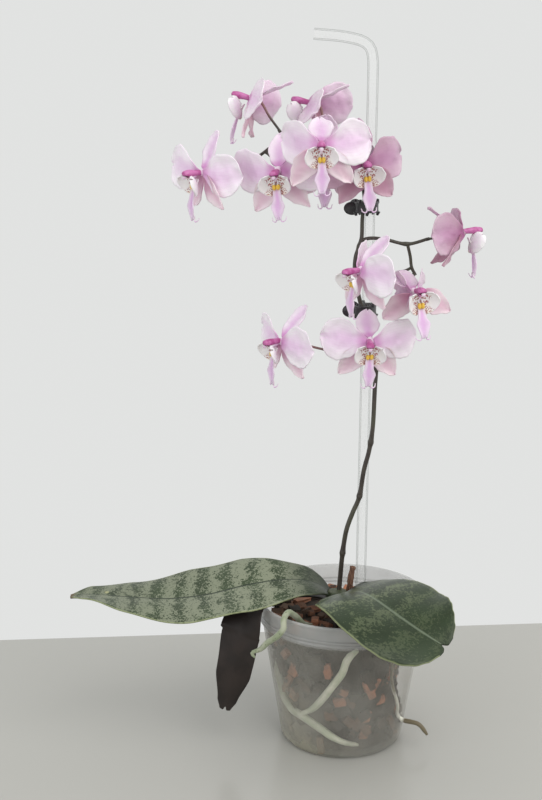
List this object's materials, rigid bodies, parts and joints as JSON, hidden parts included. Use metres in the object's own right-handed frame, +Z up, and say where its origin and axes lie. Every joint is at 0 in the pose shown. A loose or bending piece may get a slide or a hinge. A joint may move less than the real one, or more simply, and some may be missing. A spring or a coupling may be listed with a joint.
{
  "type": "potted orchid",
  "caption": "Potted moth orchid with mottled leaves, roots and bark in a clear pot, and a staked spike of pink and white flowers.",
  "frame": {"origin": "centre of the pot's underside, on the plane it stands on", "axes": "+Z up along the pot's axis and the stake; -Y towards the side the flowers face and the picture was taken from; +X to the right in that view"},
  "size_m": [0.2745, 0.1622, 0.4806],
  "materials": {
    "pot_plastic": "milky clear plastic",
    "bark": "rough dry bark chips",
    "roots": "pale green-cream velvet root skin",
    "aerial_root": "grey-green root skin",
    "thin_root": "thin pale root skin",
    "leaf_silver": "waxy leaf, silver mottling on dark green",
    "leaf_green": "waxy leaf, dark green with pale mottling",
    "leaf_dark": "dull dark purple-brown leaf",
    "crown": "smooth leaf bases",
    "dried_stub": "dry brown stem",
    "stake_tube": "clear plastic tube",
    "spike": "smooth dark stem, slightly glossy",
    "clip": "black moulded plastic",
    "tepals": "soft petal, pale pink with lilac veins",
    "column": "magenta, waxy",
    "lip": "white to lilac with wine spots and a yellow callus"
  },
  "bodies": {
    "root": {"pot": "pot_plastic", "medium": "bark", "roots_in_pot": "roots", "root_aerial": "aerial_root", "root_thin": "thin_root", "leaf_left": "leaf_silver", "leaf_right": "leaf_green", "leaf_hanging": "leaf_dark", "crown": "crown", "dried_stub": "dried_stub", "stake": "stake_tube", "flower_spike": "spike", "clip_lower": "clip", "clip_upper": "clip", "bloom_a_tepals": "tepals", "bloom_a_column": "column", "bloom_a_lip": "lip", "bloom_b_tepals": "tepals", "bloom_b_column": "column", "bloom_b_lip": "lip", "bloom_c_tepals": "tepals", "bloom_c_column": "column", "bloom_c_lip": "lip", "bloom_d_tepals": "tepals", "bloom_d_column": "column", "bloom_d_lip": "lip", "bloom_e_tepals": "tepals", "bloom_e_column": "column", "bloom_e_lip": "lip", "bloom_f_tepals": "tepals", "bloom_f_column": "column", "bloom_f_lip": "lip", "bloom_g_tepals": "tepals", "bloom_g_column": "column", "bloom_g_lip": "lip", "bloom_h_tepals": "tepals", "bloom_h_column": "column", "bloom_h_lip": "lip", "bloom_i_tepals": "tepals", "bloom_i_column": "column", "bloom_i_lip": "lip", "bloom_j_tepals": "tepals", "bloom_j_column": "column", "bloom_j_lip": "lip", "bloom_k_tepals": "tepals", "bloom_k_column": "column", "bloom_k_lip": "lip", "bloom_l_tepals": "tepals", "bloom_l_column": "column", "bloom_l_lip": "lip"}
  },
  "joints": []
}
